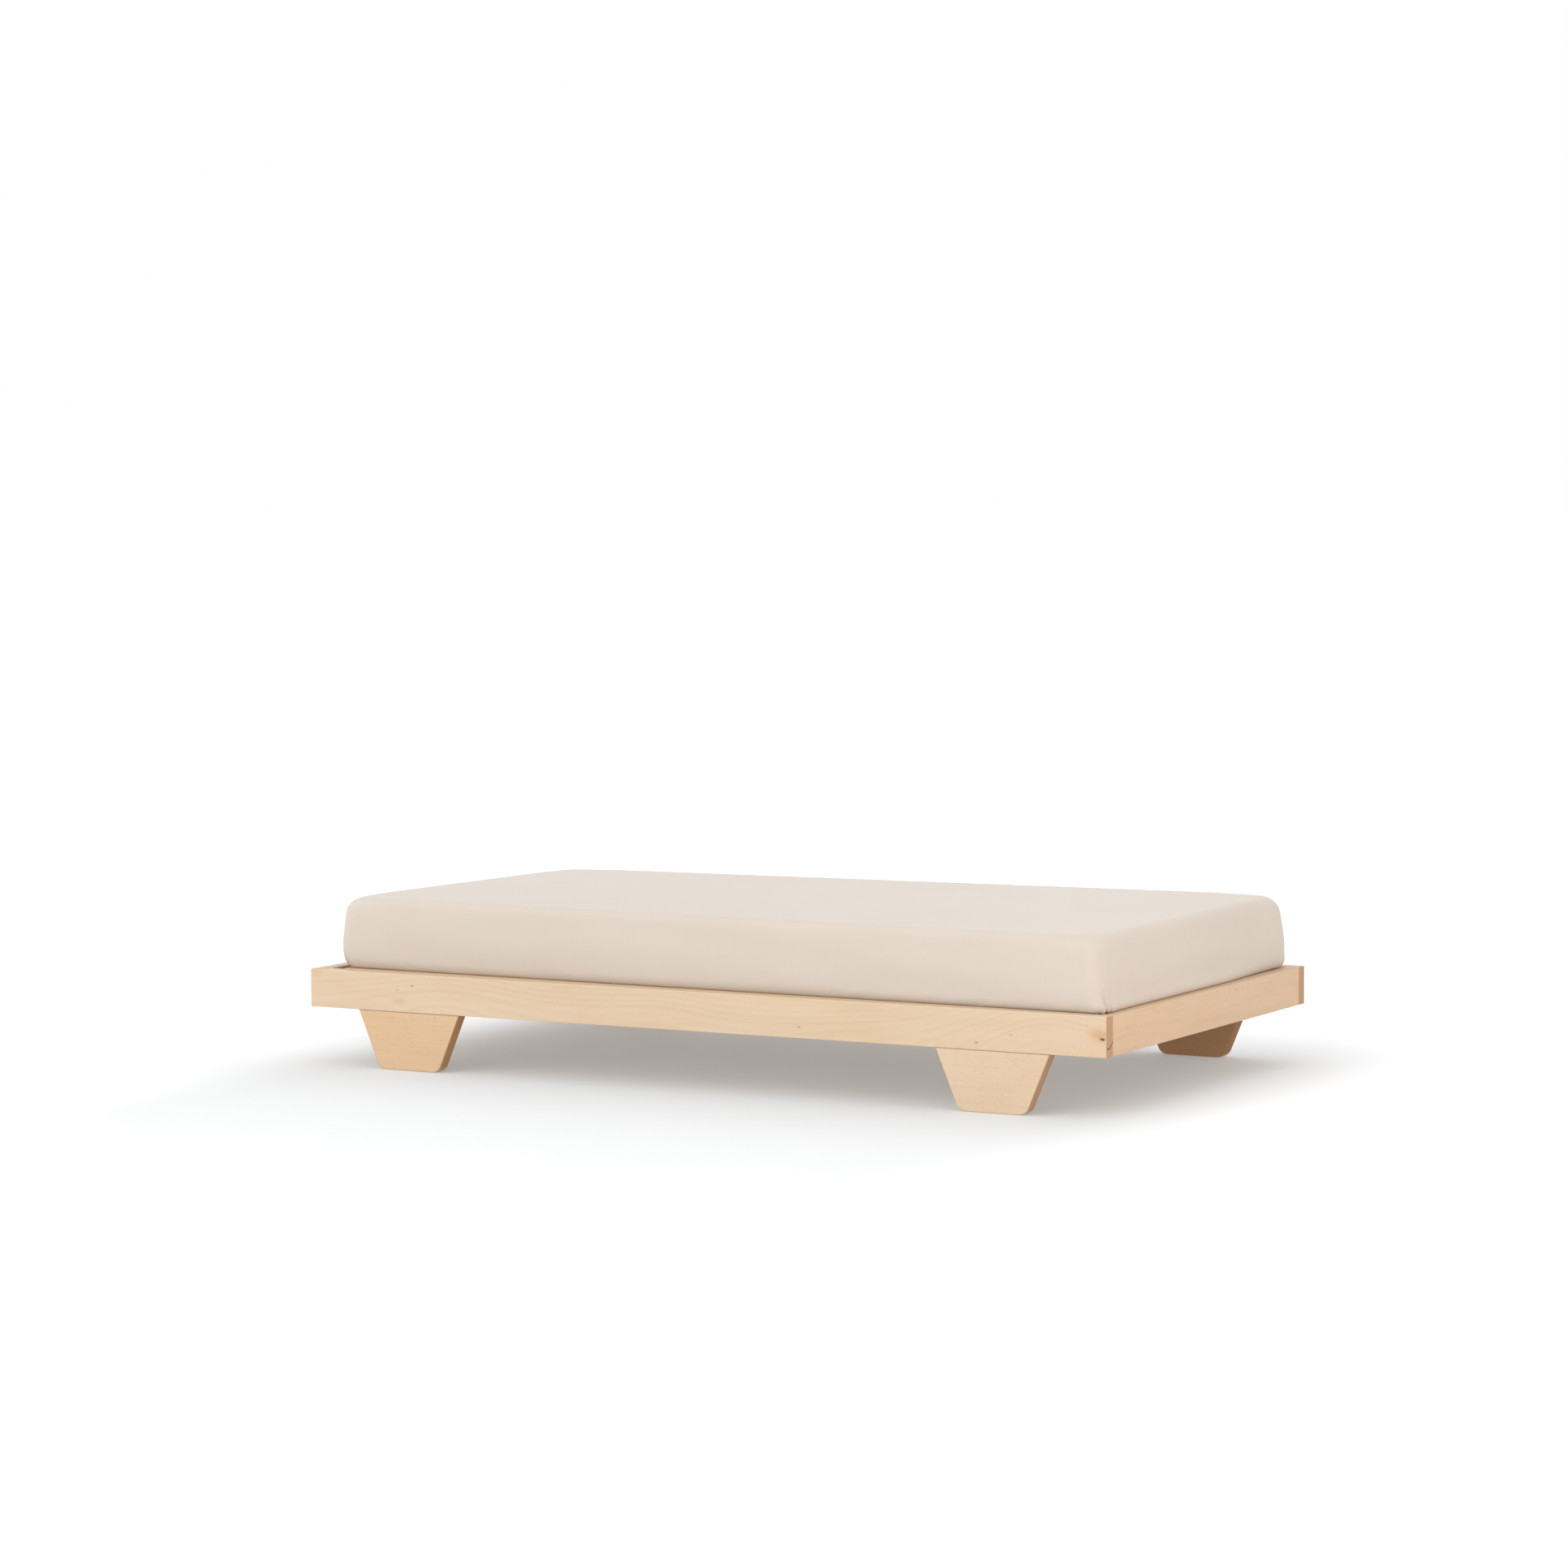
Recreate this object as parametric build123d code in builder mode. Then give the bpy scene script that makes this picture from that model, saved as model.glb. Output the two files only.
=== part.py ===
from build123d import *
import os

# A low child's bed: a beech frame on four tapered plank legs, a loose slatted base that drops into
# the frame, and a mattress in a fitted sheet. Millimetres. The origin is on the floor under the
# middle of the frame; +X runs to the right along the bed, +Y to the rear and +Z up.

# ---------------------------------------------------------------------------- driving dimensions
bed_length = 1470.0
bed_width = 800.0

rail_height = 64.0
rail_thickness = 24.0
rail_top_round = 2.0  # radius of the two top arrises
rail_ease = 0.8  # radius of every other sharp arris

leg_height = 98.0
leg_top_width = 198.0
leg_foot_width = 116.0  # at the floor, before the foot's corners are rounded
leg_foot_radius = 19.0
leg_from_end = 195.0  # end of the bed to the middle of a leg

dowel_radius = 4.0
dowel_chamfer = 0.8
corner_dowel_length = 36.0
corner_dowel_in_side_rail = 14.0
corner_dowel_heights = (18.0, 46.0)  # above the rail's bottom
leg_dowel_length = 40.0
leg_dowel_offset = 66.0  # either side of the leg's middle

bolt_radius = 3.0
bolt_hole_radius = 3.25
bolt_length = 80.0
bolt_head_radius = 5.0
bolt_head_height = 6.0
bolt_socket_width = 5.0  # across the flats of the hexagon socket
bolt_socket_depth = 3.0
bolt_recess_radius = 6.0
bolt_recess_depth = 40.0
bolt_offset = 28.0  # either side of the leg's middle
barrel_nut_radius = 5.0
barrel_nut_length = 14.0
barrel_nut_height = 14.0  # nut's axis above the rail's bottom
barrel_nut_slot_width = 1.5
barrel_nut_slot_depth = 1.2

base_thickness = 22.0  # the slatted base, whose top is flush with the rails
ledger_width = 20.0
ledger_height = 20.0
ledger_end_gap = 2.0
ledger_screw_count = 6
ledger_screw_length = 35.0

block_width = 38.0
block_height = 40.0
block_chamfer = 6.0
block_screw_length = 50.0
block_screw_inset = 8.0  # from the block's inner vertical edge
block_side_screw_heights = (6.0, 26.0)  # above the block's bottom
block_end_screw_heights = (14.0, 34.0)

screw_radius = 2.0
screw_head_radius = 4.0
screw_tip_length = 4.0
screw_socket_width = 3.0
screw_socket_depth = 1.2
screw_countersink_angle = 90.0

base_length = 1394.0
base_right_gap = 2.0  # the base stands hard up to the right end rail
base_side_gap = 3.0
base_frame_width = 40.0
slat_count = 13
slat_width = 64.0
slat_thickness = 12.0
slat_bearing = 20.0  # length of each slat end that lies in its housing
slat_clearance = 0.5
slat_round = 2.0
slat_first_centre = 37.0  # end of the base to the middle of the first slat
slat_screw_offset = 18.0  # either side of the slat's middle
slat_screw_length = 20.0

mattress_length = 1408.0
mattress_width = 736.0
mattress_height = 120.0
mattress_offset = 6.0  # it lies a little to the right on the base
mattress_plan_radius = 34.0
mattress_top_radius = 27.0
mattress_bottom_radius = 18.0
sheet_thickness = 1.0
cover_thickness = 3.0
sheet_tuck = 110.0  # how far the sheet reaches under the mattress
elastic_width = 8.0

# ------------------------------------------------------------------------------ derived positions
rail_bottom = leg_height
rail_top = rail_bottom + rail_height
side_inner = bed_width / 2 - rail_thickness  # |Y| of the side rails' inner faces
side_middle = bed_width / 2 - rail_thickness / 2
end_inner = bed_length / 2 - rail_thickness  # |X| of the end rails' inner faces
end_middle = bed_length / 2 - rail_thickness / 2
leg_centre = bed_length / 2 - leg_from_end
base_bottom = rail_top - base_thickness
base_right = end_inner - base_right_gap
base_left = base_right - base_length
base_middle = (base_left + base_right) / 2
base_outer = side_inner - base_side_gap  # |Y| of the slatted base's long edges
base_frame_inner = base_outer - base_frame_width
slat_pitch = (base_length - 2 * slat_first_centre) / (slat_count - 1)
slat_centres = [base_left + slat_first_centre + slat_pitch * i for i in range(slat_count)]
slat_length = 2 * (base_frame_inner + slat_bearing - slat_clearance)
slat_screw_line = base_frame_inner + slat_bearing / 2
block_bottom = base_bottom - block_height
block_inner_x = end_inner - block_width
block_inner_y = side_inner - block_width
ledger_length = 2 * (block_inner_x - ledger_end_gap)
ledger_screw_pitch = ledger_length / ledger_screw_count
ledger_screw_stations = [
    ledger_screw_pitch * (i + 0.5) - ledger_length / 2 for i in range(ledger_screw_count)
]

RIGHT = Vector(1, 0, 0)
REAR = Vector(0, 1, 0)
UP = Vector(0, 0, 1)
ends = {"left": -1, "right": 1}
sides = {"front": -1, "rear": 1}
corners = [(side, end) for side in sides for end in ends]


def save(part, name):
    """Label a finished piece and write it to its own file."""
    part.label = name
    export_step(part, f"parts/{name}.step")


def facing(points, direction):
    """A plane at each point, whose Z axis is the outward direction of a hole or a screw head."""
    return [Plane(origin=point, z_dir=direction) for point in points]


# ------------------------------------------------------------------------------- fastener layout
def corner_dowel_points(side, end):
    """Where the two corner dowels cross the side rail's inner face."""
    heights = [rail_bottom + height for height in corner_dowel_heights]
    return [(ends[end] * end_middle, sides[side] * side_inner, z) for z in heights]


def leg_points(side, end, offset, z):
    """A pair of points in a leg's middle plane, one each side of its centre line."""
    centre = ends[end] * leg_centre
    return [(centre + step, sides[side] * side_middle, z) for step in (-offset, offset)]


def ledger_screw_points(side):
    """Screw heads on the ledger's inner face."""
    y = sides[side] * (side_inner - ledger_width)
    z = base_bottom - ledger_height / 2
    return [(x, y, z) for x in ledger_screw_stations]


def block_side_screw_points(side, end):
    """Heads of the screws that run from a corner block into the side rail."""
    x = ends[end] * (block_inner_x + block_screw_inset)
    y = sides[side] * block_inner_y
    return [(x, y, block_bottom + height) for height in block_side_screw_heights]


def block_end_screw_points(side, end):
    """Heads of the screws that run from a corner block into the end rail."""
    x = ends[end] * block_inner_x
    y = sides[side] * (block_inner_y + block_screw_inset)
    return [(x, y, block_bottom + height) for height in block_end_screw_heights]


def slat_screw_points(side, centres):
    """Screw heads in the top faces of the slats, two in each slat end."""
    y = sides[side] * slat_screw_line
    steps = (-slat_screw_offset, slat_screw_offset)
    return [(x + step, y, rail_top) for x in centres for step in steps]


# --------------------------------------------------------------------------------------- fasteners
def make_dowel(length):
    """A beech dowel standing on its middle, with chamfered ends."""
    with BuildPart() as dowel:
        Cylinder(dowel_radius, length)
        chamfer(dowel.edges().filter_by(GeomType.CIRCLE), dowel_chamfer)
    return dowel.part


def make_screw(length):
    """A countersunk wood screw, head up, with the top of its head at the origin."""
    head_depth = screw_head_radius - screw_radius
    with BuildPart() as screw:
        with BuildSketch(Plane.XZ):
            with BuildLine():
                Polyline(
                    (0, 0),
                    (screw_head_radius, 0),
                    (screw_radius, -head_depth),
                    (screw_radius, screw_tip_length - length),
                    (0, -length),
                    close=True,
                )
            make_face()
        revolve(axis=Axis.Z)
        with BuildSketch():
            RegularPolygon(screw_socket_width / 2, 6, major_radius=False)
        extrude(amount=-screw_socket_depth, mode=Mode.SUBTRACT)
    return screw.part


def make_bolt():
    """A socket-head bolt, with its head below the origin and its shank running up."""
    with BuildPart() as bolt:
        Cylinder(bolt_radius, bolt_length, align=(Align.CENTER, Align.CENTER, Align.MIN))
        chamfer(bolt.edges().group_by(Axis.Z)[-1], dowel_chamfer)
        Cylinder(bolt_head_radius, bolt_head_height, align=(Align.CENTER, Align.CENTER, Align.MAX))
        chamfer(bolt.edges().group_by(Axis.Z)[0], dowel_chamfer)
        with BuildSketch(Plane.XY.offset(-bolt_head_height)):
            RegularPolygon(bolt_socket_width / 2, 6, major_radius=False)
        extrude(amount=bolt_socket_depth, mode=Mode.SUBTRACT)
    return bolt.part


def make_barrel_nut():
    """A cross dowel lying along Y, threaded across its middle, with a slot in its inner end."""
    with BuildPart() as nut:
        Cylinder(barrel_nut_radius, barrel_nut_length, rotation=(90, 0, 0))
        Cylinder(bolt_radius, 2 * barrel_nut_radius, mode=Mode.SUBTRACT)
        with Locations((0, -barrel_nut_length / 2, 0)):
            Box(
                2 * barrel_nut_radius,
                2 * barrel_nut_slot_depth,
                barrel_nut_slot_width,
                mode=Mode.SUBTRACT,
            )
    return nut.part


def group(piece, places):
    """Copies of one fastener as separate solids."""
    with BuildPart() as copies:
        with Locations(*places):
            add(piece)
    return copies.part


# ------------------------------------------------------------------------------------------- rails
def make_side_rail(side):
    """A full-length side rail, drilled for its dowels, leg bolts, barrel nuts and screws."""
    inward = -sides[side] * REAR
    with BuildPart() as rail:
        with Locations((0, sides[side] * side_middle, (rail_bottom + rail_top) / 2)):
            Box(bed_length, rail_thickness, rail_height)
        fillet(rail.edges().filter_by(Axis.X).group_by(Axis.Z)[-1], rail_top_round)
        fillet(rail.edges().filter_by(Axis.X).group_by(Axis.Z)[0], rail_ease)
        chamfer(rail.faces().filter_by(Axis.X).edges(), rail_ease / 2)
        for end in ends:
            with Locations(*facing(corner_dowel_points(side, end), inward)):
                Hole(dowel_radius, corner_dowel_in_side_rail)
            with Locations(*facing(leg_points(side, end, leg_dowel_offset, rail_bottom), -UP)):
                Hole(dowel_radius, leg_dowel_length / 2)
            bolt_reach = bolt_recess_depth + bolt_length - rail_bottom + 1
            with Locations(*facing(leg_points(side, end, bolt_offset, rail_bottom), -UP)):
                Hole(bolt_hole_radius, bolt_reach)
            nut_mouths = [
                (x, sides[side] * side_inner, rail_bottom + barrel_nut_height)
                for x, _, _ in leg_points(side, end, bolt_offset, rail_bottom)
            ]
            with Locations(*facing(nut_mouths, inward)):
                Hole(barrel_nut_radius, rail_thickness / 2 + barrel_nut_length / 2)
            block_pilots = [
                (x, sides[side] * side_inner, z) for x, _, z in block_side_screw_points(side, end)
            ]
            with Locations(*facing(block_pilots, inward)):
                Hole(screw_radius, block_screw_length - block_width)
        ledger_pilots = [(x, sides[side] * side_inner, z) for x, _, z in ledger_screw_points(side)]
        with Locations(*facing(ledger_pilots, inward)):
            Hole(screw_radius, ledger_screw_length - ledger_width)
    return rail.part


def make_end_rail(end):
    """An end rail that butts between the side rails."""
    with BuildPart() as rail:
        with Locations((ends[end] * end_middle, 0, (rail_bottom + rail_top) / 2)):
            Box(rail_thickness, 2 * side_inner, rail_height)
        fillet(rail.edges().filter_by(Axis.Y).group_by(Axis.Z)[-1], rail_top_round)
        fillet(rail.edges().filter_by(Axis.Y).group_by(Axis.Z)[0], rail_ease)
        for side in sides:
            with Locations(*facing(corner_dowel_points(side, end), sides[side] * REAR)):
                Hole(dowel_radius, corner_dowel_length - corner_dowel_in_side_rail)
            pilots = [
                (ends[end] * end_inner, y, z) for _, y, z in block_end_screw_points(side, end)
            ]
            with Locations(*facing(pilots, -ends[end] * RIGHT)):
                Hole(screw_radius, block_screw_length - block_width)
    return rail.part


# -------------------------------------------------------------------------------------------- legs
def make_leg(side, end):
    """A tapered plank leg, flush with the rail's outer face, bolted up into the rail."""
    centre = ends[end] * leg_centre
    outer_face = Plane((centre, sides[side] * bed_width / 2, 0), x_dir=RIGHT, z_dir=-REAR)
    with BuildPart() as leg:
        with BuildSketch(outer_face) as outline:
            with BuildLine():
                Polyline(
                    (-leg_foot_width / 2, 0),
                    (leg_foot_width / 2, 0),
                    (leg_top_width / 2, leg_height),
                    (-leg_top_width / 2, leg_height),
                    close=True,
                )
            make_face()
            fillet(outline.vertices().group_by(Axis.Y)[0], leg_foot_radius)
        extrude(amount=sides[side] * rail_thickness)
        top_face = leg.faces().sort_by(Axis.Z)[-1]
        arrises = leg.faces().filter_by(Axis.Y).edges() - top_face.edges()
        fillet(arrises, rail_top_round)
        with Locations(*facing(leg_points(side, end, leg_dowel_offset, leg_height), UP)):
            Hole(dowel_radius, leg_dowel_length / 2)
        with Locations(*facing(leg_points(side, end, bolt_offset, 0), -UP)):
            CounterBoreHole(bolt_hole_radius, bolt_recess_radius, bolt_recess_depth, leg_height)
    return leg.part


# ------------------------------------------------------------------ ledgers and corner blocks
def make_ledger(side):
    """A batten along the inside of a side rail, which carries the slatted base."""
    y = sides[side] * (side_inner - ledger_width / 2)
    with BuildPart() as ledger:
        with Locations((0, y, base_bottom - ledger_height / 2)):
            Box(ledger_length, ledger_width, ledger_height)
        chamfer(ledger.edges().filter_by(Axis.X), rail_ease)
        with Locations(*facing(ledger_screw_points(side), -sides[side] * REAR)):
            CounterSinkHole(
                screw_radius, screw_head_radius, ledger_width, screw_countersink_angle
            )
    return ledger.part


def make_corner_block(side, end):
    """A block that ties a side rail to an end rail and carries a corner of the base."""
    x = ends[end] * (end_inner - block_width / 2)
    y = sides[side] * (side_inner - block_width / 2)
    with BuildPart() as block:
        with Locations((x, y, block_bottom + block_height / 2)):
            Box(block_width, block_width, block_height)
        inner_edge = block.edges().filter_by(Axis.Z).sort_by_distance((0, 0, block_bottom))[0]
        chamfer(inner_edge, block_chamfer)
        with Locations(*facing(block_side_screw_points(side, end), -sides[side] * REAR)):
            CounterSinkHole(screw_radius, screw_head_radius, block_width, screw_countersink_angle)
        with Locations(*facing(block_end_screw_points(side, end), -ends[end] * RIGHT)):
            CounterSinkHole(screw_radius, screw_head_radius, block_width, screw_countersink_angle)
    return block.part


# ------------------------------------------------------------------------------------ slatted base
def make_base_frame(side):
    """A long member of the slatted base, with stopped housings for the slat ends."""
    y = sides[side] * (base_outer - base_frame_width / 2)
    housing_y = sides[side] * slat_screw_line
    housings = [(x, housing_y, rail_top - slat_thickness / 2) for x in slat_centres]
    with BuildPart() as member:
        with Locations((base_middle, y, base_bottom + base_thickness / 2)):
            Box(base_length, base_frame_width, base_thickness)
        fillet(member.edges().filter_by(Axis.X), rail_ease)
        fillet(member.edges().filter_by(Axis.Z), rail_ease / 2)
        with Locations(*housings):
            Box(slat_width + 2 * slat_clearance, slat_bearing, slat_thickness, mode=Mode.SUBTRACT)
        floors = [(x, y, z - slat_thickness) for x, y, z in slat_screw_points(side, slat_centres)]
        with Locations(*facing(floors, UP)):
            Hole(screw_radius, slat_screw_length - slat_thickness)
    return member.part


def make_slat(centre):
    """One cross slat, rounded along its long edges and countersunk for its four screws."""
    with BuildPart() as slat:
        with Locations((centre, 0, rail_top - slat_thickness / 2)):
            Box(slat_width, slat_length, slat_thickness)
        fillet(slat.edges().filter_by(Axis.Y), slat_round)
        for side in sides:
            with Locations(*facing(slat_screw_points(side, [centre]), UP)):
                CounterSinkHole(
                    screw_radius, screw_head_radius, slat_thickness, screw_countersink_angle
                )
    return slat.part


# ---------------------------------------------------------------------------------------- mattress
def make_mattress_form(inset):
    """The mattress's rounded block, drawn in by inset on every side."""
    plane = Plane.XY.offset(rail_top + inset)
    with BuildPart() as form:
        with BuildSketch(plane):
            with Locations((mattress_offset, 0)):
                RectangleRounded(
                    mattress_length - 2 * inset,
                    mattress_width - 2 * inset,
                    mattress_plan_radius - inset,
                )
        extrude(amount=mattress_height - 2 * inset)
        fillet(form.faces().sort_by(Axis.Z)[-1].edges(), mattress_top_radius - inset)
        fillet(form.faces().sort_by(Axis.Z)[0].edges(), mattress_bottom_radius - inset)
    return form.part


def make_shell(inset, thickness):
    """A closed skin round the mattress."""
    with BuildPart() as shell:
        add(make_mattress_form(inset))
        add(make_mattress_form(inset + thickness), mode=Mode.SUBTRACT)
    return shell.part


def make_fitted_sheet():
    """The sheet: a skin over the top and sides that is tucked under the bottom's edges."""
    with BuildPart() as sheet:
        add(make_shell(0, sheet_thickness))
        with BuildSketch(Plane.XY.offset(rail_top)):
            with Locations((mattress_offset, 0)):
                Rectangle(mattress_length - 2 * sheet_tuck, mattress_width - 2 * sheet_tuck)
        extrude(amount=sheet_thickness, mode=Mode.SUBTRACT)
    return sheet.part


def make_elastic():
    """The elastic in the sheet's hem, lying flat along the edge of the opening."""
    with BuildPart() as elastic:
        with BuildSketch(Plane.XY.offset(rail_top)):
            with Locations((mattress_offset, 0)):
                Rectangle(mattress_length - 2 * sheet_tuck, mattress_width - 2 * sheet_tuck)
                Rectangle(
                    mattress_length - 2 * (sheet_tuck + elastic_width),
                    mattress_width - 2 * (sheet_tuck + elastic_width),
                    mode=Mode.SUBTRACT,
                )
        extrude(amount=sheet_thickness)
    return elastic.part


# ------------------------------------------------------------------------------- build and export
os.makedirs("parts", exist_ok=True)

for side in sides:
    save(make_side_rail(side), f"side_rail_{side}")
    save(make_ledger(side), f"ledger_{side}")
    save(make_base_frame(side), f"slat_frame_{side}")

for end in ends:
    save(make_end_rail(end), f"end_rail_{end}")

for side, end in corners:
    save(make_leg(side, end), f"leg_{side}_{end}")
    save(make_corner_block(side, end), f"corner_block_{side}_{end}")

for number, centre in enumerate(slat_centres, start=1):
    save(make_slat(centre), f"slat_{number:02d}")

corner_dowel_shift = corner_dowel_length / 2 - corner_dowel_in_side_rail
corner_dowel_places = [
    Plane(origin=(x, y - sides[side] * corner_dowel_shift, z), z_dir=REAR)
    for side, end in corners
    for x, y, z in corner_dowel_points(side, end)
]
save(group(make_dowel(corner_dowel_length), corner_dowel_places), "corner_dowels")

leg_dowel_places = [
    point for side, end in corners for point in leg_points(side, end, leg_dowel_offset, leg_height)
]
save(group(make_dowel(leg_dowel_length), leg_dowel_places), "leg_dowels")

bolt_places = [
    point
    for side, end in corners
    for point in leg_points(side, end, bolt_offset, bolt_recess_depth)
]
save(group(make_bolt(), bolt_places), "leg_bolts")

nut_places = [
    Location((x, y, z), (0, 0, 0 if side == "rear" else 180))
    for side, end in corners
    for x, y, z in leg_points(side, end, bolt_offset, rail_bottom + barrel_nut_height)
]
save(group(make_barrel_nut(), nut_places), "leg_barrel_nuts")

ledger_screw_places = [
    place
    for side in sides
    for place in facing(ledger_screw_points(side), -sides[side] * REAR)
]
save(group(make_screw(ledger_screw_length), ledger_screw_places), "ledger_screws")

block_screw_places = [
    place
    for side, end in corners
    for place in facing(block_side_screw_points(side, end), -sides[side] * REAR)
    + facing(block_end_screw_points(side, end), -ends[end] * RIGHT)
]
save(group(make_screw(block_screw_length), block_screw_places), "corner_block_screws")

slat_screw_places = [
    place for side in sides for place in facing(slat_screw_points(side, slat_centres), UP)
]
save(group(make_screw(slat_screw_length), slat_screw_places), "slat_screws")

save(make_mattress_form(sheet_thickness + cover_thickness), "mattress_core")
save(make_shell(sheet_thickness, cover_thickness), "mattress_cover")
save(make_fitted_sheet(), "fitted_sheet")
save(make_elastic(), "sheet_elastic")
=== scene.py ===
"""Looks for the low wooden bed: woods, steel, mattress, fitted sheet, studio and camera.
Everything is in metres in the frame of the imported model: +X to the bed's right end, +Y to its rear, +Z up."""

import math

import bpy
import numpy as np
from mathutils import Matrix, Vector


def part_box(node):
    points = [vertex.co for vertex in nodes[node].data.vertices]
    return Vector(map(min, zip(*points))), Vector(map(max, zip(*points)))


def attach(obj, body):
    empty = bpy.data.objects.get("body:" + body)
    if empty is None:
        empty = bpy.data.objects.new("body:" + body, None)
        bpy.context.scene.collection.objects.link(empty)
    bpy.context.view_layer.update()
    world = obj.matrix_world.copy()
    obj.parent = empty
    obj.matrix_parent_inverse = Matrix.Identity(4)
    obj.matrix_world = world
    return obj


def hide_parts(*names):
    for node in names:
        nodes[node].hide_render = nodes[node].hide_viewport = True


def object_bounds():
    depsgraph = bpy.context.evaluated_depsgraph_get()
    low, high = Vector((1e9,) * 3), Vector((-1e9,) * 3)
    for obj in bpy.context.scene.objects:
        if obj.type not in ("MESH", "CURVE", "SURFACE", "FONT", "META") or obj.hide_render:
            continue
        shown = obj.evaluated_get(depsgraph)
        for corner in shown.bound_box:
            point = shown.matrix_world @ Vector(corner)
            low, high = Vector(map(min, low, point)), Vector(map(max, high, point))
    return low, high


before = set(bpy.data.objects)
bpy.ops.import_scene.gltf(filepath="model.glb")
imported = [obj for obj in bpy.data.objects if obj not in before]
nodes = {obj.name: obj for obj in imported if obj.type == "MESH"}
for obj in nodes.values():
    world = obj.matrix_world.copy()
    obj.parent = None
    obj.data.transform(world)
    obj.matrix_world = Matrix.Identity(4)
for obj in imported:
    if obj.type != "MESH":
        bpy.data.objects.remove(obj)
CAD_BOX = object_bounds()
MM = 0.001


# ---------------------------------------------------------------- node trees
class Tree:
    """A material's node tree, with short calls for the nodes used here."""

    def __init__(self, name):
        self.material = bpy.data.materials.new(name)
        self.material.use_nodes = True
        self.tree = self.material.node_tree
        self.tree.nodes.clear()
        output = self.tree.nodes.new("ShaderNodeOutputMaterial")
        self.shader = self.tree.nodes.new("ShaderNodeBsdfPrincipled")
        self.tree.links.new(self.shader.outputs[0], output.inputs[0])
        self.place = self.tree.nodes.new("ShaderNodeTexCoord")

    def cloth_map(self):
        """A cloth's own map: metres along warp and weft."""
        node = self.tree.nodes.new("ShaderNodeUVMap")
        node.uv_map = "cloth"
        return self.split(node.outputs[0])[:2]

    def put(self, socket, value):
        if isinstance(value, bpy.types.NodeSocket):
            self.tree.links.new(value, socket)
        elif value is not None:
            socket.default_value = value

    def math(self, operation, a, b=None, c=None):
        node = self.tree.nodes.new("ShaderNodeMath")
        node.operation = operation
        for socket, value in zip(node.inputs, (a, b, c)):
            self.put(socket, value)
        return node.outputs[0]

    def vector(self, operation, a, b=None):
        node = self.tree.nodes.new("ShaderNodeVectorMath")
        node.operation = operation
        self.put(node.inputs[0], a)
        self.put(node.inputs[1], b)
        return node.outputs["Value" if operation in ("LENGTH", "DOT_PRODUCT", "DISTANCE") else 0]

    def split(self, vector):
        node = self.tree.nodes.new("ShaderNodeSeparateXYZ")
        self.put(node.inputs[0], vector)
        return node.outputs[0], node.outputs[1], node.outputs[2]

    def join(self, x, y, z):
        node = self.tree.nodes.new("ShaderNodeCombineXYZ")
        for socket, value in zip(node.inputs, (x, y, z)):
            self.put(socket, value)
        return node.outputs[0]

    def noise(self, vector, scale=1.0, detail=2.0, rough=0.5):
        node = self.tree.nodes.new("ShaderNodeTexNoise")
        self.put(node.inputs["Vector"], vector)
        for name, value in (("Scale", scale), ("Detail", detail), ("Roughness", rough)):
            node.inputs[name].default_value = value
        return node.outputs[0]

    def cells(self, vector, scale=1.0):
        node = self.tree.nodes.new("ShaderNodeTexVoronoi")
        self.put(node.inputs["Vector"], vector)
        node.inputs["Scale"].default_value = scale
        return node.outputs["Distance"]

    def span(self, value, low, high, to_low=0.0, to_high=1.0):
        """value from low to high becomes to_low to to_high, and stays there beyond."""
        node = self.tree.nodes.new("ShaderNodeMapRange")
        node.interpolation_type = "SMOOTHSTEP"
        node.clamp = True
        for socket, v in zip(node.inputs, (value, low, high, to_low, to_high)):
            self.put(socket, v)
        return node.outputs[0]

    def mix(self, share, a, b):
        """Colour a where share is 0, and b where it is 1."""
        node = self.tree.nodes.new("ShaderNodeMix")
        node.data_type = "RGBA"
        for index, value in ((0, share), (6, a), (7, b)):
            self.put(node.inputs[index], value)
        return node.outputs[2]

    def bump(self, height, distance, strength=1.0):
        node = self.tree.nodes.new("ShaderNodeBump")
        self.put(node.inputs["Height"], height)
        node.inputs["Distance"].default_value = distance
        node.inputs["Strength"].default_value = strength
        return node.outputs[0]

    def set(self, **values):
        for name, value in values.items():
            self.put(self.shader.inputs[name.replace("_", " ")], value)


def tinted(colour, factor):
    return tuple(min(1.0, c * factor) for c in colour[:3]) + (1.0,)


# ------------------------------------------------------------------- woods
BEECH = (0.608, 0.463, 0.322, 1.0)
BEECH_END = (0.596, 0.415, 0.272, 1.0)
# each leg's own tone of beech, and for one of them painted shade
LEG_TONES_AND_SHADE = {
    "leg_front_left": (0.592, 0.412, 0.250, 1.0),
    "leg_front_right": (0.620, 0.474, 0.338, 1.0),
    "leg_rear_left": (0.600, 0.430, 0.275, 1.0),
    # painted shade: the rear right leg is painted darker and redder for the shadow it stands in under the bed
    "leg_rear_right": (0.440, 0.255, 0.135, 1.0),
}
# unfinished beech for the inner parts, with painted shade: a little darker and redder for the slat frame's strip in the
# shadow under the mattress's edge
BEECH_RAW_AND_SHADE = (0.610, 0.428, 0.262, 1.0)
KNOT = (0.105, 0.034, 0.010, 1.0)
SPLIT = (0.09, 0.030, 0.010, 1.0)
# painted shadow for the crevice where a leg meets the rail above it
PAINTED_JOINT_SHADOW = (0.20, 0.10, 0.045, 1.0)
STRETCH = 2.0  # how much longer a knot or stain is along the grain


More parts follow.
